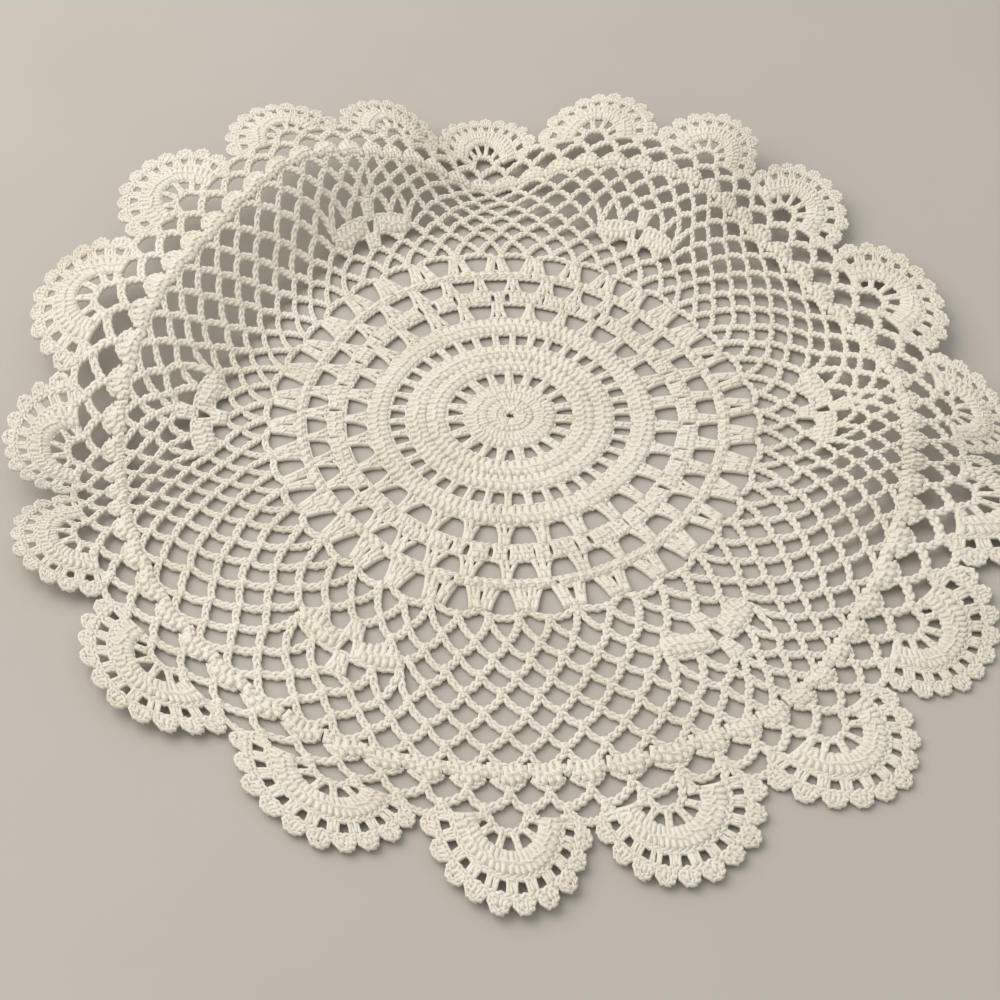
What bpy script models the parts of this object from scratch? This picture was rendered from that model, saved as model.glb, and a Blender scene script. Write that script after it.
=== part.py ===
"""Round crocheted lace doily: a flat middle, and a scalloped border that rises in soft, uneven waves.

The cloth is laid out flat first, as rings around the middle, and each point is then carried to its
place in the waves. Metres, +Z up. The origin is on the surface that the doily lies on, under the
middle of its outline.
"""

import math

import bmesh
import bpy

# The cloth, measured flat.
THICKNESS = 0.0022
FLAT_RADIUS = 0.200
NET_RADIUS = 0.0925
SCALLOPS = 19
VALLEY_RADIUS = 0.171
FAN_FOOT_RADIUS = 0.1675
FAN_RINGS = (0.55, 1.0)
POINTS_PER_SCALLOP = 12
SCALLOP_ROUNDNESS = 0.7

# The chain ring in the middle lies this far from the middle of the outline.
RING_OFFSET_X = -0.0033
RING_OFFSET_Y = 0.0084

# Solid rounds of stitches: outer radius, points around.
SOLID_ROUNDS = {
    "chain_ring": (0.0015, 8),
    "round_1": (0.0091, 19),
    "round_4": (0.0298, 57),
    "net_inner": (0.1090, 76),
    "net_middle": (0.1270, 76),
    "net_outer": (0.1455, 152),
}

# Rounds with gaps: gaps around, where the first gap is (in repeats from the start of the turn), then
# radius and gap width (as a share of one repeat) at each of its rings.
GAP_ROUNDS = {
    "spokes_small": (19, 0.35, ((0.0178, 0.50), (0.0225, 0.62))),
    "spokes_large": (38, -0.05, ((0.0391, 0.60), (0.0440, 0.64))),
    "pairs": (29, -0.18, ((0.0535, 0.34), (0.0575, 0.62), (0.0611, 0.48))),
    "arches": (36, -0.04, ((0.0687, 0.36), (0.0728, 0.62), (0.0764, 0.50))),
    "wedges": (36, 0.42, ((0.0818, 0.14), (0.0872, 0.52), (0.0913, 0.44))),
    "border_loops": (76, 0.50, ((0.1560, 0.55), (0.1655, 0.60))),
}

# The rounds in the order in which they are worked.
ORDER = (
    "chain_ring",
    "round_1",
    "spokes_small",
    "round_4",
    "spokes_large",
    "pairs",
    "arches",
    "wedges",
    "net_inner",
    "net_middle",
    "net_outer",
    "border_loops",
)

# One row for each scallop, anticlockwise from the near side: the direction of its tip from the chain
# ring (degrees), how far out the tip lies, how high the cloth is raised at its foot and at its tip, and
# how far it is drawn in towards the middle at the last round of the band, in the net and at the border.
COLUMNS = ("bearing", "reach", "foot_rise", "tip_rise", "drawn_band", "drawn_net", "drawn_border")
WAVES = (
    (-90, 0.203, 0.000, 0.002, 0.0000, 0.0007, 0.0022),
    (-74, 0.200, 0.000, 0.001, 0.0000, 0.0004, 0.0007),
    (-54, 0.199, 0.000, 0.000, 0.0003, 0.0000, 0.0004),
    (-37, 0.190, 0.001, 0.000, 0.0025, 0.0033, 0.0051),
    (-15, 0.193, 0.005, 0.003, 0.0033, 0.0044, 0.0095),
    (-4, 0.178, 0.015, 0.010, 0.0029, 0.0033, 0.0051),
    (24, 0.179, 0.003, 0.005, 0.0044, 0.0044, 0.0098),
    (46, 0.188, 0.005, 0.007, 0.0058, 0.0065, 0.0102),
    (60, 0.190, 0.013, 0.016, 0.0040, 0.0044, 0.0044),
    (77, 0.191, 0.012, 0.013, 0.0018, 0.0044, 0.0095),
    (94, 0.180, 0.000, 0.004, 0.0004, 0.0029, 0.0102),
    (107, 0.190, 0.017, 0.013, -0.0010, 0.0000, 0.0087),
    (123, 0.190, 0.028, 0.025, 0.0007, 0.0000, 0.0044),
    (141, 0.192, 0.021, 0.022, 0.0047, 0.0062, 0.0091),
    (162, 0.188, 0.018, 0.014, 0.0047, 0.0073, 0.0102),
    (189, 0.178, 0.004, 0.013, 0.0055, 0.0065, 0.0047),
    (202, 0.180, 0.001, 0.007, 0.0062, 0.0055, 0.0047),
    (225, 0.180, 0.000, 0.004, 0.0055, 0.0029, 0.0007),
    (251, 0.188, 0.000, 0.001, 0.0018, 0.0004, -0.0036),
)
FIRST_BEARING = -95.8  # where the first scallop would point if nothing had pulled the net round
REACH_POWER = 1.5
LIFT_RADIUS = 0.105  # inside this the cloth lies flat
FOOT_RADIUS = 0.158
DRAWN_RADII = (0.036, 0.089, 0.120, 0.156, 0.182)  # nothing is drawn in at the first and last of these

COTTON = (0.76, 0.70, 0.58, 1.0)
COTTON_ROUGHNESS = 0.92


def clear_scene():
    for obj in list(bpy.data.objects):
        bpy.data.objects.remove(obj, do_unlink=True)


def cotton_material():
    material = bpy.data.materials.new("cotton_thread")
    material.use_nodes = True
    shader = material.node_tree.nodes["Principled BSDF"]
    shader.inputs["Base Color"].default_value = COTTON
    shader.inputs["Roughness"].default_value = COTTON_ROUGHNESS
    shader.inputs["Metallic"].default_value = 0.0
    return material


def smooth_step(start, end, radius):
    """Grows softly from 0 at the start radius to 1 at the end radius."""
    share = min(max((radius - start) / (end - start), 0.0), 1.0)
    return share * share * (3.0 - 2.0 * share)


def wave(column, turn):
    """The column's value at this share of a full turn, on a smooth closed curve through its rows."""
    place = turn * SCALLOPS
    row = math.floor(place)
    part = place - row
    index = COLUMNS.index(column)
    before, here, after, beyond = (WAVES[(row + step) % SCALLOPS][index] for step in (-1, 0, 1, 2))
    if column == "bearing":
        before, here, after, beyond = (
            twist_of(value, row + step)
            for value, step in zip((before, here, after, beyond), (-1, 0, 1, 2))
        )
    slope_here = (after - before) / 2
    slope_after = (beyond - here) / 2
    rest = part * part * (3 - 2 * part)
    return (
        here * (1 - rest)
        + after * rest
        + slope_here * part * (1 - part) ** 2
        - slope_after * part * part * (1 - part)
    )


def twist_of(bearing, row):
    """How far a scallop's tip is pulled round from its even spacing, in degrees."""
    return bearing - (FIRST_BEARING + 360.0 * (row % SCALLOPS) / SCALLOPS)


def drawn_in(radius, turn):
    """How far nearer to the middle the cloth lies at this flat radius and share of a full turn."""
    amounts = (0.0, wave("drawn_band", turn), wave("drawn_net", turn), wave("drawn_border", turn), 0.0)
    for step in range(len(amounts) - 1):
        start, end = DRAWN_RADII[step : step + 2]
        if start <= radius < end:
            share = (radius - start) / (end - start)
            return amounts[step] * (1.0 - share) + amounts[step + 1] * share
    return 0.0


def drape(radius, turn):
    """The place in the waves of the point of the flat cloth at this radius and share of a full turn."""
    share = max(0.0, radius - NET_RADIUS) / (FLAT_RADIUS - NET_RADIUS)
    bearing = FIRST_BEARING + 360.0 * turn + wave("bearing", turn) * share * (2.0 - share)
    distance = radius + (wave("reach", turn) - FLAT_RADIUS) * share**REACH_POWER - drawn_in(radius, turn)
    foot_rise = max(0.0, wave("foot_rise", turn))
    tip_rise = max(0.0, wave("tip_rise", turn))
    height = foot_rise * smooth_step(LIFT_RADIUS, FOOT_RADIUS, radius)
    height += (tip_rise - foot_rise) * smooth_step(FOOT_RADIUS, FLAT_RADIUS, radius)
    angle = math.radians(bearing)
    return (
        RING_OFFSET_X + distance * math.cos(angle),
        RING_OFFSET_Y + distance * math.sin(angle),
        height,
    )


def scallop_edge(turn):
    """The outline's flat radius at this share of a full turn: a row of rounded arches."""
    across = 2.0 * ((turn * SCALLOPS + 0.5) % 1.0) - 1.0
    depth = (FLAT_RADIUS - VALLEY_RADIUS) * (1.0 - across * across) ** SCALLOP_ROUNDNESS
    return VALLEY_RADIUS + depth


def even_ring(radius, count):
    return [(radius, k / count) for k in range(count)]


def gap_ring(radius, gaps, start, width):
    """Two points to each gap, one at each side of it."""
    half = width / 2.0
    return [(radius, (k + start + side) / gaps) for k in range(gaps) for side in (-half, half)]


def fan_ring(share):
    """A ring through the scallops, at this share of the way from their foot to the outline."""
    count = SCALLOPS * POINTS_PER_SCALLOP
    turns = [k / count for k in range(count)]
    return [
        (FAN_FOOT_RADIUS + (scallop_edge(turn) - FAN_FOOT_RADIUS) * share, turn) for turn in turns
    ]


def cloth_rings():
    """All rings of the flat cloth, from the middle outwards, each with True if a gap round follows it."""
    rings = []
    for name in ORDER:
        if name in SOLID_ROUNDS:
            radius, count = SOLID_ROUNDS[name]
            rings.append((even_ring(radius, count), False))
            continue
        gaps, start, edges = GAP_ROUNDS[name]
        for radius, width in edges:
            rings.append((gap_ring(radius, gaps, start, width), radius != edges[-1][0]))
    return rings + [(fan_ring(share), False) for share in FAN_RINGS]


def add_ring(cloth, points):
    """One vertex for each (radius, share of a full turn), in its place in the waves."""
    return [cloth.verts.new(drape(radius, turn)) for radius, turn in points]


def join_over_gaps(cloth, inner, outer):
    """Fills only the stitches between the gaps: the first two points of a ring bound its first gap."""
    count = len(inner)
    for k in range(1, count, 2):
        after = (k + 1) % count
        cloth.faces.new((inner[k], outer[k], outer[after], inner[after]))


def join_solid(cloth, inner, inner_turns, outer, outer_turns):
    """A band of triangles between two rings with unlike counts, always by the shorter diagonal."""
    i = j = 0
    while i < len(inner) or j < len(outer):
        inner_here, outer_here = inner[i % len(inner)], outer[j % len(outer)]
        if lap(inner_turns, i + 1) - lap(outer_turns, j) < lap(outer_turns, j + 1) - lap(inner_turns, i):
            i += 1
            cloth.faces.new((inner_here, outer_here, inner[i % len(inner)]))
        else:
            j += 1
            cloth.faces.new((inner_here, outer_here, outer[j % len(outer)]))


def lap(turns, index):
    """The share of a full turn at this index, which keeps growing past the ring's last point."""
    return turns[index % len(turns)] + index // len(turns)


def cloth_surface():
    cloth = bmesh.new()
    below = None
    for points, gap_follows in cloth_rings():
        turns = [turn for _, turn in points]
        ring = add_ring(cloth, points)
        if below is None:
            pass
        elif below[2]:
            join_over_gaps(cloth, below[0], ring)
        else:
            join_solid(cloth, below[0], below[1], ring, turns)
        below = (ring, turns, gap_follows)
    return cloth


def build_doily():
    cloth = cloth_surface()
    mesh = bpy.data.meshes.new("doily")
    cloth.to_mesh(mesh)
    cloth.free()
    mesh.materials.append(cotton_material())
    mesh.shade_smooth()
    doily = bpy.data.objects.new("doily", mesh)
    sheet = doily.modifiers.new("thread thickness", "SOLIDIFY")
    sheet.thickness = THICKNESS
    sheet.offset = 1.0
    return doily


def main():
    clear_scene()
    collection = bpy.data.collections.new("lace_doily")
    bpy.context.scene.collection.children.link(collection)
    collection.objects.link(build_doily())


main()
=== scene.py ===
"""The look of the round lace doily: every chain, post, cluster and petal, worked in cotton thread.

The lace is charted on the flat cloth first. A chart gives a radius, a share of a full turn and a height
above the underside, in units of which 550 reach from the middle to the tips of the scallops. The
stitches are laid out flat, thickened into strands of thread, and carried into the waves in which the
doily lies. In the scene: metres, +Z up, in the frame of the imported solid.
"""

import math
from collections import namedtuple

import bpy
import numpy as np
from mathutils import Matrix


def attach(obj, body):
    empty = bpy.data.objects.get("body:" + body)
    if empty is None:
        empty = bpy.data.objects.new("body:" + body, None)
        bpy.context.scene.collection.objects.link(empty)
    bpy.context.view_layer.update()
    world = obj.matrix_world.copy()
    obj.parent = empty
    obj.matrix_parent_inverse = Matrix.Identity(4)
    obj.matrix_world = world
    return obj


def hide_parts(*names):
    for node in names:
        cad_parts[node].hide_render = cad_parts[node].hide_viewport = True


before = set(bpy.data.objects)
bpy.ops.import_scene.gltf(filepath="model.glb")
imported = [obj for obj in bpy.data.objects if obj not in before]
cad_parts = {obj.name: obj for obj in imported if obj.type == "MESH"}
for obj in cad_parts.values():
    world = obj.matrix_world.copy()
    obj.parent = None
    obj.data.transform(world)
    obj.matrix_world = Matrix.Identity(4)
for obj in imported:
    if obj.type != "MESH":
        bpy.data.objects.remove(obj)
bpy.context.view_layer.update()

# The flat cloth, and the waves in which it lies, as in the solid that this lace replaces, in metres.
FLAT_RADIUS = 0.200
NET_RADIUS = 0.0925  # inside this the bearing and the reach of the scallops change nothing
SCALLOPS = 19
RING_OFFSET = (-0.0033, 0.0084)  # the middle of the chain ring

# For each scallop, anticlockwise from the near side: the direction of its tip from the chain ring
# (degrees), how far out the tip lies, how high the cloth is raised at its foot and at its tip, and how
# far it is drawn in towards the middle at the last round of the band, in the net and at the border.
WAVES = {
    "bearing": (-90, -74, -54, -37, -15, -4, 24, 46, 60, 77, 94, 107, 123, 141, 162, 189, 202, 225, 251),
    "reach": (0.203, 0.200, 0.199, 0.190, 0.193, 0.178, 0.179, 0.188, 0.190, 0.191, 0.180, 0.190,
              0.190, 0.192, 0.188, 0.178, 0.180, 0.180, 0.188),
    "foot_rise": (0.000, 0.000, 0.000, 0.001, 0.005, 0.015, 0.003, 0.005, 0.013, 0.012, 0.000, 0.017,
                  0.028, 0.021, 0.018, 0.004, 0.001, 0.000, 0.000),
    "tip_rise": (0.002, 0.001, 0.000, 0.000, 0.003, 0.010, 0.005, 0.007, 0.016, 0.013, 0.004, 0.013,
                 0.025, 0.022, 0.014, 0.013, 0.007, 0.004, 0.001),
    "drawn_band": (0.0000, 0.0000, 0.0003, 0.0025, 0.0033, 0.0029, 0.0044, 0.0058, 0.0040, 0.0018,
                   0.0004, -0.0010, 0.0007, 0.0047, 0.0047, 0.0055, 0.0062, 0.0055, 0.0018),
    "drawn_net": (0.0007, 0.0004, 0.0000, 0.0033, 0.0044, 0.0033, 0.0044, 0.0065, 0.0044, 0.0044,
                  0.0029, 0.0000, 0.0000, 0.0062, 0.0073, 0.0065, 0.0055, 0.0029, 0.0004),
    "drawn_border": (0.0022, 0.0007, 0.0004, 0.0051, 0.0095, 0.0051, 0.0098, 0.0102, 0.0044, 0.0095,
                     0.0102, 0.0087, 0.0044, 0.0091, 0.0102, 0.0047, 0.0047, 0.0007, -0.0036),
}
FIRST_BEARING = -95.8  # the direction in which the turn starts
REACH_POWER = 1.5
LIFT_RADIUS = 0.105  # inside this the cloth lies flat
FOOT_RADIUS = 0.158
DRAWN_RADII = (0.036, 0.089, 0.120, 0.156, 0.182)  # nothing is drawn in at the first and last of these
SLOPE_STEP = 0.0005  # the distance over which the slope of the cloth is taken

# Everything from here to the materials is in chart units, except shares, turns and degrees.
UNIT = FLAT_RADIUS / 550

# Heights above the underside.
LOWEST = 0.1
FOOT_HEIGHT = 3.0
MID_HEIGHT = 3.3
RIDGE_HEIGHT = 3.9

# Thread. The thickness of a strand is a share of the width of its stitch, and the radius of a tube is a
# share of that thickness, a little over half, because it has few sides.
STRAND_SIDES = 4  # so that the faces along a tube and at its ends are alike
TUBE_RADIUS = 0.56
FLATNESS = 0.5  # how high a stitch is for its width
CHAIN_STRANDS = 3
CHAIN_STRAND = 0.42
CHAIN_WIDTH = 8.7
CHAIN_PERIOD = 21.0
CHAIN_STEP = 3.4
CHAIN_LOOSENESS = 0.03
RIDGE_WIDTH = 7.4
POST_STRAND = 0.62
POST_LIFT = 0.6
POST_TWIST = 1.4  # radians from foot to top
POST_LEAN = 0.2
POST_LOOSENESS = 0.04
WRAP_POINTS = 5
WRAP_STRAND = 0.32
WRAP_REACH = 0.11  # of the post's length, both ways
WRAP_INSET = 0.2  # these three are shares of the thickness of the post's strands
WRAP_RISE = 0.45
WRAP_DROP = 0.6
WRAP_LOOSENESS = 0.05

# The middle, round by round: outer radius, width of the ridge of stitch tops round it, repeats, where
# the first opening or repeat starts, how far the edge below bends inwards under each opening, post
# width, how far the posts splay at the foot, and the foot and top of each post of one repeat, in
# repeats from the middle of its stitches.
Round = namedtuple("Round", "outer ridge repeats start dip width splay posts")
PLAIN = ((0.0, 0.0),)
MIDDLE_ROUNDS = (
    Round(26.0, 5.0, 24, 0.0, 0.0, 8.4, 0.0, PLAIN),
    Round(48.0, 7.2, 46, 0.0, 0.0, 8.2, 0.0, PLAIN),
    Round(68.0, 7.2, 19, 0.35, 1.6, 7.2, 0.0, ((-0.10, -0.04), (0.10, 0.04))),
    Round(87.0, 5.0, 60, 0.0, 0.0, 10.8, 0.0, PLAIN),
    Round(106.0, 7.2, 82, 0.0, 0.0, 10.2, 0.0, PLAIN),
    Round(127.5, 7.2, 38, -0.05, 1.2, 7.8, 0.0, PLAIN),
    Round(150.0, 7.2, 118, 0.0, 0.0, 9.8, 0.0, PLAIN),
    Round(176.5, 6.8, 29, -0.18, 2.4, 8.2, 1.6, ((-0.12, -0.055), (0.12, 0.055))),
)
BAND_ROUNDS = (
    Round(194.5, 6.8, 29, -0.27, 0.0, 8.6, 1.0,
          ((-0.05, -0.09), (0.05, 0.09), (0.35, 0.31), (0.45, 0.43), (0.55, 0.57), (0.65, 0.69))),
    Round(219.0, 6.4, 36, -0.04, 2.4, 8.0, 1.8, ((-0.13, -0.05), (0.13, 0.05))),
    Round(228.0, 6.0, 36, 0.42, 0.0, 11.0, 0.0,
          ((-0.375, -0.375), (-0.125, -0.125), (0.125, 0.125), (0.375, 0.375))),
    Round(254.5, 0.0, 36, 0.42, 2.0, 8.2, 0.0,
          ((-0.28, -0.12), (-0.15, -0.06), (0.15, 0.06), (0.28, 0.12))),
)
HOLE_RADIUS = 4.0
FIRST_RING = 7.0
FEET_INSET = 2.5  # how far a round reaches into the one below
TOPS_INSET = 3.0
RIDGE_INSET = 2.8
FEET_LOOSENESS = 0.25
TOPS_LOOSENESS = 0.4
RING_POINTS = 601
WAVER = ((0.5, 7), (0.3, 17))  # how far a ring strays from its circle, and how many times

# The arches that end the band.
BAND_ARCHES = 36
BAND_ARCH_START = 0.92
BAND_ARCH_FOOT = 249.0
BAND_ARCH_TOP = 259.5
BAND_ARCH_ROUNDNESS = 2.8
BAND_KNOT = 247.0

# The net: rows of chain arches, each row standing on the tops of the last, round six clusters. The
# knots reach from below to above the edge.
ARCH_POINTS = 25
ARCH_ROUNDNESS = 1.75
ARCH_SKEW = 0.03
ARCH_LOOSENESS = 0.9
MOST_SKEW = 0.15
KNOT_HEIGHT = 4.0
KNOT_REACH = (-3.0, 6.0)
KNOT_WIDTH = 7.6
KNOT_LIFT = 0.9
KNOT_POINTS = 5
CLUSTERS = 6
CLUSTER_START = (1.4 - FIRST_BEARING) / 360.0 - 1.0 / 6.0
CLUSTER_RADIUS = 335.0
SECTOR_ARCHES = 10
INNER_ROWS = (284.0, 304.0, 323.5)
CAUGHT_RADIUS = 317.0  # where the last inner row is caught under a cluster
SECTOR_ROW = 343.0
NET_LOOSENESS = 0.0006  # of a turn

# The rows outside the clusters: radius of the tops, phase of the border's spacing, and how far towards
# that spacing the row leans. The first starts on the clusters, and some of these give the second row an
# arch more.
OUTER_ROWS = ((363.0, 0.0, 0.0), (382.0, 0.0, 0.15), (402.0, 0.5, 0.25), (421.0, 0.0, 0.45))
CLUSTER_TOP = 357.0
CLUSTER_FEET = (27.0, 50.0)
CLUSTER_REACH = 57.0
CLUSTER_LIFT = 5.0
LIFTED_ARCHES = (-2, -1, 0, 1)
DOUBLED_CLUSTERS = (0, 1, 3, 4)

# A cluster: the ridge (how far aside, radius), the posts of one wing (how far aside, radius of the foot
# and of the top), and its shells (how far aside the feet and the tops are, their radii, width).
CLUSTER_RIDGE = ((-51, 329), (-46, 336), (-32, 341), (-13, 343), (0, 341.5), (13, 343), (32, 341),
                 (46, 336), (51, 329))
CLUSTER_RIDGE_WIDTH = 8.2
CLUSTER_WING = ((14.5, 323.5, 341), (20.7, 320.5, 341), (26.9, 317.5, 340), (33.1, 315.5, 339),
                (39.3, 316.5, 337), (45.0, 322, 334))
WING_WIDTH = 9.8
WING_LIFT = 1.2
WING_SPREAD = 0.6
Shell = namedtuple("Shell", "feet tops foot top width")
LOWER_SHELLS = (
    Shell((-3.0, 0.0, 3.0), (-6.0, 0.0, 6.0), 304.0, 323.0, 8.4),
    Shell((-5.0, 5.0), (-9.0, 9.0), 321.0, 341.0, 7.0),
)
UPPER_SHELL = Shell((-2.7, 0.0, 2.7), (-5.1, 0.0, 5.1), 342.0, 361.0, 7.6)
UPPER_RIDGE = 361.5
UPPER_RIDGE_REACH = 7
UPPER_RIDGE_WIDTH = 7.0

# The loops round the net, and the groups of posts between them (how far aside each foot and top is).
BORDER_LOOPS = 76
GROUP_TOP = 442.0
GROUP_POSTS = ((-12.0, -14.0), (-6.0, -7.0), (0.0, 0.0), (6.0, 7.0), (12.0, 14.0))
GROUP_WIDTH = 9.8
GROUP_LIFT = 1.2
GROUP_LEAN = (0.5, 5.0, 2.0)  # how much of the way to an even spacing, at most how far, and always
GROUP_ROOM = (0.7, 1.4)
GROUP_HOLLOW = 0.02  # how the feet and the tops fall away to the sides
GROUP_CROWN = 0.038
GROUP_RIDGE = (14.5, 9.0)  # how far the ridge reaches and how far it falls
GROUP_RIDGE_WIDTH = 7.0
LOOP_TOP = 459.0
LOOP_ROUNDNESS = 2.0
LOOP_WIDTH = 9.4

# One fan of the border, about a point on the loops: distances from that point, and directions in
# degrees. The arches under it stand on knots, given in loops from its middle.
FAN_RADIUS = 465.0
FAN_SQUASH = 0.92
FAN_KNOTS = (-1.5, -0.5, 0.5, 1.5, 2.5)
FAN_ARCH_TOPS = (473.0, 478.5, 473.0, 474.0)
FAN_ARCH_ROUNDNESS = 3.4
FAN_ARCH_WIDTH = 8.8
WHEEL_POSTS = ((-86, 19.5), (-56, 17.5), (-19, 14.5), (19, 14.5), (56, 17.5), (86, 19.5))
WHEEL_TOP = 32.0
WHEEL_WIDTH = 7.0
BAND = (33.5, 53.5)
BAND_GROUPS = 6
BAND_PITCH = 29.5
BAND_POSTS = (-1.5, -0.5, 0.5, 1.5)
BAND_SPREAD = (6.9, 7.4)  # degrees from post to post at the feet and at the tops
BAND_WIDTH = 8.8
PAIRS = (53.0, 68.0)
PAIR_SPREAD = 2.2
PAIR_WIDTH = 5.8
PETALS = 10
PETAL_PITCH = 17.4
PETAL = (70.8, 83.0)
PETAL_REACH = 7.4
PETAL_ROUNDNESS = 2.8
PETAL_POSTS = (-3.6, 0.0, 3.6)
PETAL_POST_WIDTH = 7.2
PETAL_EDGE_WIDTH = 8.0
PETAL_FOOT_WIDTH = 8.8
SWEEP_POINTS = 33

# The pieces, from the middle outwards. The outer net laid flat is a ring between two radii.
PIECES = ("middle", "band", "inner_net", "outer_net", "loops", "fans_right", "fans_left")
FIRST_LEFT_FAN = 10

# Cotton: how fine its patches and fibres are, its plies, its colours, and its surface.
PATCH_SCALE = 28.0
FIBRE_SCALE = 2600.0
PLIES = 2.0
PLY_TURNS = 5.5  # in a centimetre
COTTON_COLOURS = ((0.25, (0.72, 0.65, 0.53)), (0.60, (0.84, 0.79, 0.68)), (0.95, (0.91, 0.87, 0.78)))
COTTON_SURFACE = {
    "Roughness": 0.92,
    "Specular IOR Level": 0.25,
    "Sheen Weight": 0.35,
    "Sheen Roughness": 0.5,
    "Sheen Tint": (1.0, 0.95, 0.86, 1.0),
}
RELIEF = 0.00018  # metres
RELIEF_STRENGTH = 0.6

# The stage, in metres and degrees.
FLOOR_SIZE = 6.0
FLOOR_COLOURS = ((0.30, (0.49, 0.46, 0.42)), (0.70, (0.51, 0.48, 0.44)))
FLOOR_ROUGHNESS = 0.8
SKY_COLOUR = (1.0, 0.99, 0.97, 1.0)
SKY_STRENGTH = 0.60
LAMP_SIZE = 1.5
LAMP_POWER = 17.0
LAMP_COLOUR = (1.0, 0.97, 0.92)
LAMP_PLACE = (-0.9, 0.35, 1.15)
LAMP_TILT = (-15, -38)
CAMERA_SENSOR = 36.0  # this and the lens in millimetres
CAMERA_LENS = 61.2
CAMERA_PLACE = (-0.0070, -0.4354, 0.4328)
CAMERA_TILT = 43.0

rng = np.random.default_rng(19)


def loose(size, spread):
    """The small differences between stitches made by hand."""
    return rng.normal(0.0, spread, size)


def closed_curve(column, turn):
    """The column's value at each share of a full turn, on a smooth closed curve through its rows."""
    values = np.array(WAVES[column], float)
    if column == "bearing":
        values -= FIRST_BEARING + 360.0 * np.arange(SCALLOPS) / SCALLOPS
    place = turn * SCALLOPS
    row = np.floor(place).astype(int)
    part = place - row
    before, here, after, beyond = (values[(row + step) % SCALLOPS] for step in (-1, 0, 1, 2))
    rest = part * part * (3 - 2 * part)
    return (
        here * (1 - rest)
        + after * rest
        + (after - before) / 2 * part * (1 - part) ** 2
        - (beyond - here) / 2 * part * part * (1 - part)
    )


def smooth_step(start, end, value):
    share = np.clip((value - start) / (end - start), 0.0, 1.0)
    return share * share * (3.0 - 2.0 * share)


def drawn_in(radius, turn):
    """How far nearer to the middle the cloth is drawn, at these flat radii and shares of a full turn."""
    total = 0.0
    for step, column in enumerate(("drawn_band", "drawn_net", "drawn_border")):
        start, most, end = DRAWN_RADII[step : step + 3]
        inside, outside = (radius - start) / (most - start), (end - radius) / (end - most)
        total = total + closed_curve(column, turn) * np.clip(np.minimum(inside, outside), 0.0, 1.0)
    return total


def underside(radius, turn):
    """The place in the waves of the flat cloth's underside, in metres."""
    share = np.maximum(0.0, radius - NET_RADIUS) / (FLAT_RADIUS - NET_RADIUS)
    twist = closed_curve("bearing", turn) * share * (2.0 - share)
    angle = np.radians(FIRST_BEARING + 360.0 * turn + twist)
    distance = radius + (closed_curve("reach", turn) - FLAT_RADIUS) * share**REACH_POWER
    distance -= drawn_in(radius, turn)
    foot_rise = np.maximum(0.0, closed_curve("foot_rise", turn))
    tip_rise = np.maximum(0.0, closed_curve("tip_rise", turn))
    height = foot_rise * smooth_step(LIFT_RADIUS, FOOT_RADIUS, radius)
    height += (tip_rise - foot_rise) * smooth_step(FOOT_RADIUS, FLAT_RADIUS, radius)
    x, y = RING_OFFSET
    return np.stack([x + distance * np.cos(angle), y + distance * np.sin(angle), height], -1)


def unit(vectors):
    """Vectors of length 1 in the same directions."""
    return vectors / np.maximum(np.linalg.norm(vectors, axis=-1, keepdims=True), 1e-9)


def drape(points):
    """Carries flat points into the waves, each as far above the underside as on the flat cloth."""
    radius = np.hypot(points[:, 0], points[:, 1])
    turn = np.arctan2(points[:, 1], points[:, 0]) / (2 * math.pi)
    foot = underside(radius, turn)
    outwards = underside(radius + SLOPE_STEP, turn) - foot
    turn_step = SLOPE_STEP / (2 * math.pi * np.maximum(radius, SLOPE_STEP))
    sideways = underside(radius, turn + turn_step) - foot
    return foot + unit(np.cross(outwards, sideways)) * points[:, 2:]


def chart(radius, turn, height=MID_HEIGHT):
    """Flat points from radii and shares of a full turn."""
    radius, turn, height = np.broadcast_arrays(
        np.asarray(radius, float), np.asarray(turn, float), np.asarray(height, float)
    )
    angle = 2 * math.pi * turn
    return np.stack([radius * np.cos(angle), radius * np.sin(angle), height], -1)


def beside(turn, aside, radius, height=MID_HEIGHT):
    """Flat points this far to the side of a spoke at this turn, on rings of these radii."""
    turned = np.asarray(aside, float) / (2 * math.pi * np.asarray(radius, float))
    return chart(radius, turn + turned, height)


def in_fan(fan, distance, direction, height=MID_HEIGHT):
    """Flat points in one fan, from distances and directions (degrees) about the fan's foot."""
    distance, direction, height = np.broadcast_arrays(
        np.asarray(distance, float), np.radians(np.asarray(direction, float)), np.asarray(height, float)
    )
    out = FAN_RADIUS + distance * np.cos(direction)
    side = FAN_SQUASH * distance * np.sin(direction)
    angle = 2 * math.pi * fan / SCALLOPS
    x = out * math.cos(angle) - side * math.sin(angle)
    y = out * math.sin(angle) + side * math.cos(angle)
    return np.stack([x, y, height], -1)


def resampled(paths, count):
    """Each path with this many points, evenly spaced along it."""
    result = np.empty((len(paths), count, 3))
    for path, even in zip(paths, result):
        along = np.concatenate([[0.0], np.cumsum(np.linalg.norm(np.diff(path, axis=0), axis=1))])
        places = np.linspace(0.0, along[-1], count)
        for axis in range(3):
            even[:, axis] = np.interp(places, along, path[:, axis])
    return result


def path_frames(paths):
    """Unit vectors across each path, in the cloth and up from it."""
    tangent = unit(np.gradient(paths, axis=1))
    across = unit(np.cross([0.0, 0.0, 1.0], tangent))
    return across, np.cross(tangent, across)


def per_path(value, count):
    """One value or one for each path, shaped to go with the points of the paths."""
    return np.broadcast_to(np.asarray(value, float), (count,)).reshape(count, 1, 1)


def between(feet, tops, share):
    """Points at these shares of the way from each foot to its top."""
    return feet[:, None, :] * (1 - share) + tops[:, None, :] * share


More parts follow.
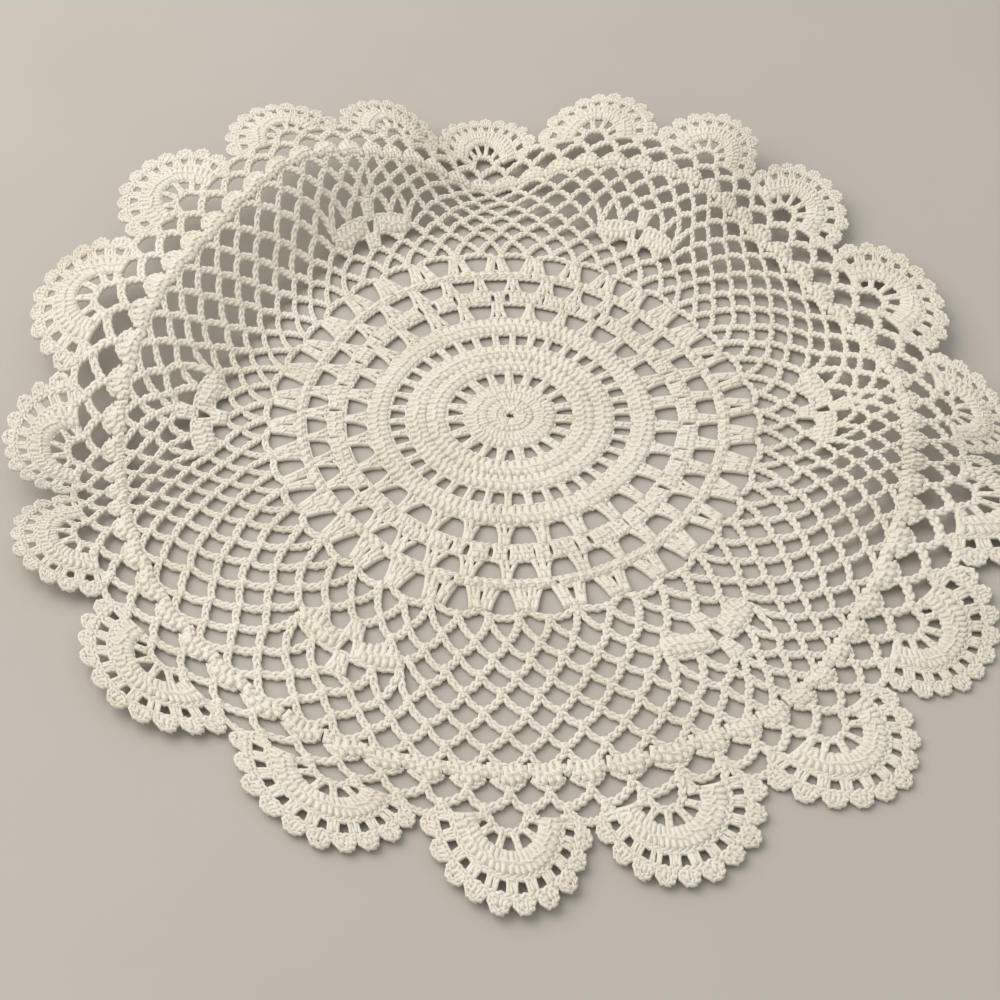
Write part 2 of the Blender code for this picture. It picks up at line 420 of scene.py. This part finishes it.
def tube_points(strands, thickness):
    """The points of the tubes round these strands."""
    across, up = path_frames(strands)
    angle = 2 * math.pi * (np.arange(STRAND_SIDES) + 0.5) / STRAND_SIDES
    circle = np.cos(angle)[:, None] * across[:, :, None] + np.sin(angle)[:, None] * up[:, :, None]
    radius = (np.asarray(thickness, float) * TUBE_RADIUS).reshape(-1, 1, 1, 1)
    return (strands[:, :, None] + radius * circle).reshape(-1, 3)


def tube_faces(first, number, count):
    """The faces along the tubes, then those that close their starts and their ends."""
    index = first + np.arange(number * count * STRAND_SIDES).reshape(number, count, STRAND_SIDES)
    next_side = np.roll(index, -1, axis=2)
    quads = np.stack([index[:, :-1], next_side[:, :-1], next_side[:, 1:], index[:, 1:]], -1)
    return [quads.reshape(-1, 4), index[:, 0, ::-1], index[:, -1]]


def tube_corners(strands):
    """Where each corner of those faces is on its strand: share of the way round, centimetres along."""
    number, count, _ = strands.shape
    steps = np.linalg.norm(np.diff(strands, axis=1), axis=-1)
    along = np.concatenate([np.zeros((number, 1)), np.cumsum(steps, axis=1)], axis=1) * UNIT * 100
    start, end = (
        np.repeat(part[..., None], STRAND_SIDES, axis=2) for part in (along[:, :-1], along[:, 1:])
    )
    side = np.arange(STRAND_SIDES) / STRAND_SIDES
    next_side = side + 1 / STRAND_SIDES
    corners = np.empty((number, count - 1, STRAND_SIDES, 4, 2))
    corners[..., 0] = np.stack([side, next_side, next_side, side], -1)
    corners[..., 1] = np.stack([start, start, end, end], -1)
    return [corners.reshape(-1, 2), np.zeros((number * STRAND_SIDES * 2, 2))]


class Lace:
    """Strands of thread, gathered for one piece of lace."""

    def __init__(self):
        self.batches = []

    def add(self, strands, thickness):
        self.batches.append((strands, thickness))

    def chain(self, paths, width=CHAIN_WIDTH):
        """Chain stitches along each path: three strands, plaited."""
        length = np.mean(np.linalg.norm(np.diff(paths, axis=1), axis=-1).sum(axis=1))
        count = max(6, int(round(length / CHAIN_STEP)) + 1)
        paths = resampled(paths, count)
        across, up = path_frames(paths)
        periods = max(1, round(length / CHAIN_PERIOD))
        phase = 2 * math.pi * periods * np.linspace(0.0, 1.0, count)[None, :, None]
        width = per_path(width, len(paths)) * rng.normal(1.0, CHAIN_LOOSENESS, (len(paths), 1, 1))
        thickness = CHAIN_STRAND * width
        reach = (width - thickness) / 2
        for strand in range(CHAIN_STRANDS):
            angle = phase + 2 * math.pi * strand / CHAIN_STRANDS
            offset = np.sin(angle) * across + FLATNESS * np.sin(2 * angle) * up
            self.add(paths + reach * offset, thickness)

    def posts(self, feet, tops, width, lift=POST_LIFT, wrapped=True, count=6, flare=1.0, splay=0.0):
        """From each foot to its top two strands side by side, with a third wrapped over them halfway.

        They spread towards their ends, and still more at a splayed foot, which rounds the openings.
        """
        number = len(feet)
        share = np.linspace(0.0, 1.0, count)[None, :, None]
        paths = between(feet, tops, share)
        paths[..., 2] += lift * (1 - (2 * share[..., 0] - 1) ** 2)
        across, up = path_frames(paths)
        width = per_path(width, number) * rng.normal(1.0, POST_LOOSENESS, (number, 1, 1))
        thickness = POST_STRAND * width
        spread = 1 + flare * (2 * share - 1) ** 2 + splay * (1 - share) ** 3
        reach = (width - thickness) / 2 * spread
        lean = loose((number, 1, 1), POST_LEAN)
        for side in (0.0, math.pi):
            angle = lean + POST_TWIST * (share - 0.5) + side
            offset = np.cos(angle) * across + FLATNESS * np.sin(angle) * up
            self.add(paths + reach * offset, thickness)
        if wrapped:
            self.wrap(feet, tops, across[:, :1], width, thickness, lift)

    def wrap(self, feet, tops, across, width, thickness, lift):
        """A thinner strand slantwise over the middle of each post, highest halfway."""
        over = np.linspace(-1.0, 1.0, WRAP_POINTS)[None, :, None]
        along = rng.normal(0.5, WRAP_LOOSENESS, (len(feet), 1, 1)) + WRAP_REACH * over
        strands = between(feet, tops, along) + over * (width / 2 - WRAP_INSET * thickness) * across
        strands[..., 2:] += lift + thickness * (WRAP_RISE - WRAP_DROP * over**2)
        self.add(strands, WRAP_STRAND * width)

    def build(self, name, material):
        """Thickens the strands into tubes with closed ends, drapes them and makes one mesh."""
        vertices, faces, corners, shades = [], [], [], []
        first = 0
        for strands, thickness in self.batches:
            number, count, _ = strands.shape
            vertices.append(tube_points(strands, thickness))
            faces += tube_faces(first, number, count)
            corners += tube_corners(strands)
            shades.append(np.repeat(rng.uniform(0.0, 1.0, number), count * STRAND_SIDES))
            first += number * count * STRAND_SIDES
        vertices = np.concatenate(vertices)
        vertices[:, 2] = np.maximum(vertices[:, 2], LOWEST)
        vertices = drape(vertices * UNIT)
        faces = np.concatenate(faces)
        mesh = bpy.data.meshes.new(name)
        mesh.vertices.add(len(vertices))
        mesh.vertices.foreach_set("co", vertices.ravel())
        mesh.loops.add(faces.size)
        mesh.loops.foreach_set("vertex_index", faces.ravel())
        mesh.polygons.add(len(faces))
        mesh.polygons.foreach_set("loop_start", STRAND_SIDES * np.arange(len(faces)))
        place = mesh.uv_layers.new(name="thread")
        place.data.foreach_set("uv", np.concatenate(corners).ravel())
        shade = mesh.attributes.new("shade", "FLOAT", "POINT")
        shade.data.foreach_set("value", np.concatenate(shades))
        mesh.update(calc_edges=True)
        mesh.shade_smooth()
        mesh.materials.append(material)
        piece = bpy.data.objects.new(name, mesh)
        bpy.context.scene.collection.objects.link(piece)
        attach(piece, "root")
        return piece


def ring_chain(lace, radius, width=RIDGE_WIDTH, openings=0, start=0.0, dip=0.0):
    """A chain of stitch tops all the way round, not quite a true circle, bent inwards under openings."""
    turn = np.linspace(0.0, 1.0, RING_POINTS)
    waver = sum(far * np.sin(2 * math.pi * (times * turn + rng.uniform())) for far, times in WAVER)
    waver -= dip * np.cos(2 * math.pi * (openings * turn - start))
    lace.chain(chart(radius + waver, turn, RIDGE_HEIGHT)[None], width)


def work_rounds(lace, rounds, inner):
    """Rounds of posts, one on the other. Each ridge bends under the openings of the next round."""
    for row, above in zip(rounds, rounds[1:] + (None,)):
        for foot, top in row.posts:
            places = np.arange(row.repeats) + row.start + 0.5
            turns = (places + loose(row.repeats, FEET_LOOSENESS / row.width)) / row.repeats
            foot_radius = max(inner - FEET_INSET, HOLE_RADIUS + FEET_INSET)
            feet = chart(foot_radius, turns + foot / row.repeats, FOOT_HEIGHT)
            top_radii = row.outer - TOPS_INSET + loose(row.repeats, TOPS_LOOSENESS)
            lace.posts(feet, chart(top_radii, turns + top / row.repeats), row.width, splay=row.splay)
        if row.ridge:
            bends = (above.repeats, above.start, above.dip) if above else ()
            ring_chain(lace, row.outer - RIDGE_INSET, row.ridge, *bends)
        inner = row.outer


def arches(feet, radii, tops, roundness=ARCH_ROUNDNESS, closed=True, aims=None):
    """Chain arches from each foot to the next, as radii and turns, with their middles at the top radii.

    Each middle leans towards its aim, where one is given, but never far.
    """
    if closed:
        feet = np.append(feet, feet[0] + 1.0)
        radii = np.append(radii, radii[0])
    pitch = np.diff(feet)
    skew = loose(len(pitch), ARCH_SKEW)
    if aims is not None:
        skew += np.clip((aims - (feet[:-1] + feet[1:]) / 2) / pitch, -MOST_SKEW, MOST_SKEW)
    share = np.linspace(0.0, 1.0, ARCH_POINTS)[None]
    bent = share + skew[:, None] * np.sin(math.pi * share)
    turn = feet[:-1, None] * (1 - bent) + feet[1:, None] * bent
    base = radii[:-1, None] * (1 - share) + radii[1:, None] * share
    tops = np.broadcast_to(tops, (len(pitch),))[:, None] + loose((len(pitch), 1), ARCH_LOOSENESS)
    radius = base + (tops - base) * (1.0 - np.abs(2 * share - 1) ** roundness)
    return radius, turn


def chain_arches(lace, radius, turn, width=CHAIN_WIDTH):
    """Works arches that lie over the last row where they start, and lower between."""
    share = np.linspace(-1.0, 1.0, ARCH_POINTS)
    lace.chain(chart(radius, turn, MID_HEIGHT + share**6), width)


def edge_radius(edge, turns):
    """The radius of the work's edge at these turns. An edge is the radii and turns of the last row."""
    radius, turn = (np.concatenate([part.ravel() for part in parts]) for parts in zip(*edge))
    order = np.argsort(turn % 1.0)
    return np.interp(turns % 1.0, (turn % 1.0)[order], radius[order], period=1.0)


def knots(lace, radii, turns):
    """The short stitch by which each arch is caught in the one below."""
    feet, tops = (chart(radii + reach, turns) for reach in KNOT_REACH)
    lace.posts(feet, tops, KNOT_WIDTH, KNOT_LIFT, count=KNOT_POINTS, flare=0.0)


def middle_turns(turn):
    """The turns of the middles of arches."""
    return turn[:, turn.shape[1] // 2]


def even_turns(turns, phase):
    """The even spacing, starting at the phase, that lies nearest to these turns."""
    order = np.arange(len(turns))
    shift = round(float(np.mean(turns * len(turns) - order - phase)))
    return (order + shift + phase) / len(turns)


def middles_between(turns):
    """The turns halfway from each of these to the next, all the way round."""
    return (turns + np.append(turns[1:], turns[0] + 1.0)) / 2


def aside_turn(aside):
    """A distance to the side, as a share of a full turn at the clusters."""
    return aside / (2 * math.pi * CLUSTER_RADIUS)


def in_sectors(turns_between):
    """Turns in all the sectors, from a function of the turns of the clusters on both sides."""
    return [
        turns_between(CLUSTER_START + sector / CLUSTERS, CLUSTER_START + (sector + 1) / CLUSTERS)
        for sector in range(CLUSTERS)
    ]


def even_feet(start, end):
    """The feet of a sector's arches in the inner rows."""
    return np.linspace(start, end, SECTOR_ARCHES, False)


def last_feet(start, end):
    """The feet of the row that leaves room for the clusters."""
    reach = aside_turn(CLUSTER_REACH)
    return np.linspace(start + reach, end - reach, SECTOR_ARCHES - 2)


def first_feet(start, end):
    """The feet of the first row outside the clusters: on a cluster, on the arches, and on the next."""
    corners = aside_turn(np.array(CLUSTER_FEET))
    feet = last_feet(start, end)
    return np.concatenate([[start], start + corners, (feet[:-1] + feet[1:]) / 2, end - corners[::-1]])


def work_inner_net(lace, edge):
    """The rows up to the clusters, and the clusters."""
    even = np.concatenate(in_sectors(even_feet))
    caught = np.arange(len(even)) % SECTOR_ARCHES == 0
    for row, top in enumerate(INNER_ROWS):
        last = row == len(INNER_ROWS) - 1
        turns = (middle_turns(turn) if row == 1 else even) + loose(len(even), NET_LOOSENESS)
        radii = edge_radius(edge, turns)
        if last:
            radii = np.where(caught, CAUGHT_RADIUS, radii)
        radius, turn = arches(turns, radii + KNOT_HEIGHT, top)
        chain_arches(lace, radius, turn)
        free = ~caught if last else slice(None)
        knots(lace, radii[free], turns[free])
        edge = [(radius, turn)]
    edge_parts = []
    ridge_aside, ridge_radius = np.array(CLUSTER_RIDGE, float).T
    for turns in in_sectors(last_feet):
        start = turns[0] - aside_turn(CLUSTER_REACH)
        turns = turns + loose(len(turns), NET_LOOSENESS)
        radii = edge_radius(edge, turns)
        radius, turn = arches(turns, radii + KNOT_HEIGHT, SECTOR_ROW, closed=False)
        chain_arches(lace, radius, turn)
        knots(lace, radii, turns)
        edge_parts.append((radius, turn))
        work_cluster(lace, start)
        edge_parts.append((ridge_radius, start + ridge_aside / (2 * math.pi * ridge_radius)))
    return edge_parts


def work_shell(lace, turn, shell):
    feet = beside(turn, shell.feet, shell.foot)
    lace.posts(feet, beside(turn, shell.tops, shell.top), shell.width)


def work_cluster(lace, turn):
    """A ridge on two wings of six posts, shells of posts under its middle and another on top."""
    aside, radius = np.array(CLUSTER_RIDGE, float).T
    lace.chain(beside(turn, aside, radius, RIDGE_HEIGHT)[None], CLUSTER_RIDGE_WIDTH)
    for shell in LOWER_SHELLS:
        work_shell(lace, turn, shell)
    aside, foot, top = np.array(CLUSTER_WING).T
    for side in (-1, 1):
        feet = beside(turn, side * aside, foot + loose(len(foot), 0.6), FOOT_HEIGHT)
        tops = beside(turn, side * (aside + WING_SPREAD), top)
        lace.posts(feet, tops, WING_WIDTH, WING_LIFT)
    work_shell(lace, turn, UPPER_SHELL)
    aside = np.linspace(-UPPER_RIDGE_REACH, UPPER_RIDGE_REACH, 7)
    lace.chain(beside(turn, aside, UPPER_RIDGE, RIDGE_HEIGHT)[None], UPPER_RIDGE_WIDTH)


def work_outer_net(lace, edge):
    """The rows from the clusters to the border, leaning little by little to the border's spacing."""
    turns = np.concatenate(in_sectors(first_feet))
    starts = np.arange(CLUSTERS) * (len(turns) // CLUSTERS)
    doubled = turns[starts][list(DOUBLED_CLUSTERS)]
    for row, (top, phase, pull) in enumerate(OUTER_ROWS):
        if row == 1:
            turns = np.sort(np.concatenate([middle_turns(turn), doubled]))
        elif row > 1:
            turns = middle_turns(turn)
        radii = edge_radius(edge, turns)
        free = np.ones(len(turns), bool)
        tops = np.full(len(turns), top)
        if row == 0:
            radii[starts] = CLUSTER_TOP
            free[starts] = False
            for step in LIFTED_ARCHES:
                tops[(starts + step) % len(turns)] += CLUSTER_LIFT
        middles = middles_between(turns)
        aims = middles + pull * (even_turns(middles, phase) - middles)
        radius, turn = arches(turns, radii + KNOT_HEIGHT, tops, aims=aims)
        chain_arches(lace, radius, turn)
        knots(lace, radii[free], turns[free])
        edge = [(radius, turn)]
    return edge, middle_turns(turn)


def work_groups(lace, edge, turns, lean, rooms):
    """A group of five posts on each arch of the last row, under a ridge, with its room on both sides."""
    room_before, room_after = rooms
    base = edge_radius(edge, turns)
    for foot, top in GROUP_POSTS:
        room = room_before if foot < 0 else room_after
        aside = (foot + loose(BORDER_LOOPS, 0.6)) * room
        feet = beside(turns, aside, base + 1.0 - GROUP_HOLLOW * foot**2, FOOT_HEIGHT)
        reach = GROUP_TOP - TOPS_INSET - GROUP_CROWN * top**2 + loose(BORDER_LOOPS, 0.8)
        tops = beside(turns, top * room + lean, reach)
        lace.posts(feet, tops, GROUP_WIDTH * room, GROUP_LIFT)
    middle = turns + lean / (2 * math.pi * GROUP_TOP)
    share = np.linspace(-1.0, 1.0, 9)[None]
    far, fall = GROUP_RIDGE
    aside = far * share * np.where(share < 0, room_before[:, None], room_after[:, None])
    ridge = beside(middle[:, None], aside, GROUP_TOP - 0.5 - fall * share**2, RIDGE_HEIGHT)
    lace.chain(ridge, GROUP_RIDGE_WIDTH)
    return middle


def work_loops(lace, edge, turns):
    """The groups on the last row of the net, and a ring of loops from group to group."""
    pull, most, always = GROUP_LEAN
    shift = (even_turns(turns, 0.0) - turns) * 2 * math.pi * GROUP_TOP
    lean = np.clip(pull * shift, -most, most) + always
    room_after = np.clip(np.diff(np.append(turns, turns[0] + 1.0)) * BORDER_LOOPS, *GROUP_ROOM)
    foot_turns = work_groups(lace, edge, turns, lean, (np.roll(room_after, 1), room_after))
    knots(lace, np.full(BORDER_LOOPS, GROUP_TOP), foot_turns)
    radii = np.full(BORDER_LOOPS, GROUP_TOP + KNOT_HEIGHT)
    aims = even_turns(middles_between(foot_turns), 0.5)
    radius, turn = arches(foot_turns, radii, LOOP_TOP, LOOP_ROUNDNESS, aims=aims)
    chain_arches(lace, radius, turn, LOOP_WIDTH)
    return [(radius, turn)]


def sweep(most):
    """Directions from one side of a fan to the other."""
    return np.linspace(-most, most, SWEEP_POINTS)


def spaced(count, pitch):
    """Directions of this many things, evenly spaced about the middle of a fan."""
    return (np.arange(count) - (count - 1) / 2) * pitch


def work_fan_arches(lace, fan, edge):
    turns = fan / SCALLOPS + np.array(FAN_KNOTS) / BORDER_LOOPS
    radii = edge_radius(edge, turns)
    for index, top in enumerate(FAN_ARCH_TOPS):
        ends = slice(index, index + 2)
        radius, turn = arches(turns[ends], radii[ends], top, FAN_ARCH_ROUNDNESS, closed=False)
        chain_arches(lace, radius, turn, FAN_ARCH_WIDTH)
    knots(lace, radii[:-1], turns[:-1])


def work_wheel(lace, fan):
    direction, foot = np.array(WHEEL_POSTS, float).T
    direction += loose(len(direction), 1.5)
    feet = in_fan(fan, foot, direction, FOOT_HEIGHT)
    lace.posts(feet, in_fan(fan, WHEEL_TOP, direction), WHEEL_WIDTH)


def work_fan_band(lace, fan):
    """A dense band of posts in groups, between two ridges."""
    inner, outer = BAND
    lace.chain(in_fan(fan, inner - 0.5, sweep(88), RIDGE_HEIGHT)[None], RIDGE_WIDTH)
    groups = spaced(BAND_GROUPS, BAND_PITCH)
    foot_spread, top_spread = BAND_SPREAD
    for post in BAND_POSTS:
        feet = in_fan(fan, inner - 2.0, groups + post * foot_spread, FOOT_HEIGHT)
        tops = in_fan(fan, outer - 1.0, groups + post * top_spread + loose(BAND_GROUPS, 0.5))
        lace.posts(feet, tops, BAND_WIDTH)
    lace.chain(in_fan(fan, outer + 1.0, sweep(90), RIDGE_HEIGHT)[None], RIDGE_WIDTH)


def work_pairs(lace, fan):
    """Pairs of thin posts, with openings between them under the petals."""
    inner, outer = PAIRS
    pairs = spaced(PETALS + 1, PETAL_PITCH)
    for aside in (-PAIR_SPREAD, PAIR_SPREAD):
        feet = in_fan(fan, inner, pairs + 1.5 * aside, FOOT_HEIGHT)
        tops = in_fan(fan, outer, pairs + aside + loose(len(pairs), 0.4))
        lace.posts(feet, tops, PAIR_WIDTH, wrapped=False)


def work_petals(lace, fan):
    """Petals on a chain: each is three posts under a rounded edge."""
    inner, outer = PETAL
    lace.chain(in_fan(fan, inner, sweep(89), RIDGE_HEIGHT - 0.5)[None], PETAL_FOOT_WIDTH)
    petals = spaced(PETALS, PETAL_PITCH) + loose(PETALS, 0.6)
    across = np.linspace(-1.0, 1.0, 15)[None]
    tips = outer + loose((PETALS, 1), 1.0)
    edges = inner + (tips - inner) * (1 - np.abs(across) ** PETAL_ROUNDNESS)
    directions = petals[:, None] + PETAL_REACH * across
    lace.chain(in_fan(fan, edges, directions, RIDGE_HEIGHT - 0.4), PETAL_EDGE_WIDTH)
    for post in PETAL_POSTS:
        feet = in_fan(fan, inner, petals + post, FOOT_HEIGHT)
        tops = in_fan(fan, outer - 3.0, petals + 0.8 * post, FOOT_HEIGHT)
        lace.posts(feet, tops, PETAL_POST_WIDTH, lift=0.0, wrapped=False, count=4)


def work_fan(lace, fan, edge):
    """One scallop: arches, a wheel of posts, a dense band, a row of pairs, and petals round the edge."""
    work_fan_arches(lace, fan, edge)
    work_wheel(lace, fan)
    work_fan_band(lace, fan)
    work_pairs(lace, fan)
    work_petals(lace, fan)


def work_band_arches(lace):
    feet = (np.arange(BAND_ARCHES) + BAND_ARCH_START) / BAND_ARCHES
    radii = np.full(BAND_ARCHES, BAND_ARCH_FOOT)
    radius, turn = arches(feet, radii, BAND_ARCH_TOP, BAND_ARCH_ROUNDNESS)
    lace.chain(chart(radius, turn))
    knots(lace, np.full(BAND_ARCHES, BAND_KNOT), feet)
    return [(radius, turn)]


def work_doily():
    """The whole doily, worked from the middle outwards, by the names of its pieces."""
    laces = {name: Lace() for name in PIECES}
    ring_chain(laces["middle"], FIRST_RING)
    work_rounds(laces["middle"], MIDDLE_ROUNDS, HOLE_RADIUS)
    work_rounds(laces["band"], BAND_ROUNDS, MIDDLE_ROUNDS[-1].outer)
    edge = work_band_arches(laces["band"])
    edge = work_inner_net(laces["inner_net"], edge)
    edge, group_turns = work_outer_net(laces["outer_net"], edge)
    edge = work_loops(laces["loops"], edge, group_turns)
    for fan in range(SCALLOPS):
        work_fan(laces["fans_right" if fan < FIRST_LEFT_FAN else "fans_left"], fan, edge)
    return laces


def math_node(tree, operation, *values):
    node = tree.nodes.new("ShaderNodeMath")
    node.operation = operation
    for socket, value in zip(node.inputs, values):
        if isinstance(value, (int, float)):
            socket.default_value = value
        else:
            tree.links.new(value, socket)
    return node.outputs[0]


def noise(tree, place, scale, detail, roughness):
    node = tree.nodes.new("ShaderNodeTexNoise")
    node.inputs["Scale"].default_value = scale
    node.inputs["Detail"].default_value = detail
    node.inputs["Roughness"].default_value = roughness
    tree.links.new(place, node.inputs["Vector"])
    return node.outputs["Fac"]


def ramp(tree, factor, stops):
    node = tree.nodes.new("ShaderNodeValToRGB")
    while len(node.color_ramp.elements) < len(stops):
        node.color_ramp.elements.new(0.5)
    for element, (position, colour) in zip(node.color_ramp.elements, stops):
        element.position = position
        element.color = (*colour, 1.0)
    tree.links.new(factor, node.inputs["Fac"])
    return node.outputs["Color"]


def new_material(name):
    """A new material, its nodes, its shader, and the place on the object."""
    material = bpy.data.materials.new(name)
    material.use_nodes = True
    tree = material.node_tree
    place = tree.nodes.new("ShaderNodeTexCoord").outputs["Object"]
    return material, tree, tree.nodes["Principled BSDF"], place


def cotton():
    """Matt natural cotton: patches of colour, strands that differ a little, plies and loose fibres."""
    material, tree, shader, place = new_material("cotton_thread")
    thread = tree.nodes.new("ShaderNodeUVMap")
    thread.uv_map = "thread"
    split = tree.nodes.new("ShaderNodeSeparateXYZ")
    tree.links.new(thread.outputs["UV"], split.inputs[0])
    shade = tree.nodes.new("ShaderNodeAttribute")
    shade.attribute_name = "shade"

    patches = noise(tree, place, PATCH_SCALE, 3.0, 0.6)
    fibres = noise(tree, place, FIBRE_SCALE, 4.0, 0.7)
    round_it = math_node(tree, "MULTIPLY", split.outputs[0], PLIES)
    along_it = math_node(tree, "MULTIPLY", split.outputs[1], PLY_TURNS)
    twist = math_node(tree, "ADD", round_it, along_it)
    ply = math_node(tree, "SINE", math_node(tree, "MULTIPLY", twist, 2 * math.pi))
    ply = math_node(tree, "MULTIPLY_ADD", ply, 0.5, 0.5)

    tone = math_node(tree, "MULTIPLY_ADD", patches, 0.9, -0.12)
    for part, weight in ((shade.outputs["Fac"], 0.22), (fibres, 0.30), (ply, 0.10)):
        tone = math_node(tree, "MULTIPLY_ADD", part, weight, tone)
    tree.links.new(ramp(tree, tone, COTTON_COLOURS), shader.inputs["Base Color"])
    for socket, value in COTTON_SURFACE.items():
        shader.inputs[socket].default_value = value
    relief = math_node(tree, "MULTIPLY_ADD", fibres, 0.7, math_node(tree, "MULTIPLY", ply, 0.8))
    bump = tree.nodes.new("ShaderNodeBump")
    bump.inputs["Strength"].default_value = RELIEF_STRENGTH
    bump.inputs["Distance"].default_value = RELIEF
    tree.links.new(relief, bump.inputs["Height"])
    tree.links.new(bump.outputs["Normal"], shader.inputs["Normal"])
    return material


def set_floor():
    bpy.ops.mesh.primitive_plane_add(size=FLOOR_SIZE, location=(0.0, 0.0, 0.0))
    floor = bpy.context.object
    floor.name = "floor"
    material, tree, shader, place = new_material("floor")
    colour = ramp(tree, noise(tree, place, 9.0, 6.0, 0.6), FLOOR_COLOURS)
    tree.links.new(colour, shader.inputs["Base Color"])
    shader.inputs["Roughness"].default_value = FLOOR_ROUGHNESS
    floor.data.materials.append(material)


def set_light():
    """Even light from all round, and a large soft lamp from the left."""
    scene = bpy.context.scene
    scene.view_settings.view_transform = "Standard"
    scene.world = bpy.data.worlds.new("studio")
    scene.world.use_nodes = True
    sky = scene.world.node_tree.nodes["Background"]
    sky.inputs["Color"].default_value = SKY_COLOUR
    sky.inputs["Strength"].default_value = SKY_STRENGTH
    lamp = bpy.data.lights.new("key", "AREA")
    lamp.size = LAMP_SIZE
    lamp.energy = LAMP_POWER
    lamp.color = LAMP_COLOUR
    key = bpy.data.objects.new("key", lamp)
    key.location = LAMP_PLACE
    key.rotation_euler = (*map(math.radians, LAMP_TILT), 0.0)
    scene.collection.objects.link(key)


def set_camera():
    camera = bpy.data.cameras.new("camera")
    camera.sensor_width = CAMERA_SENSOR
    camera.lens = CAMERA_LENS
    eye = bpy.data.objects.new("camera", camera)
    eye.location = CAMERA_PLACE
    eye.rotation_euler = (math.radians(CAMERA_TILT), 0.0, 0.0)
    bpy.context.scene.collection.objects.link(eye)
    bpy.context.scene.camera = eye


thread = cotton()
pieces = [lace.build(name, thread) for name, lace in work_doily().items()]
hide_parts("doily")
set_floor()
set_light()
set_camera()
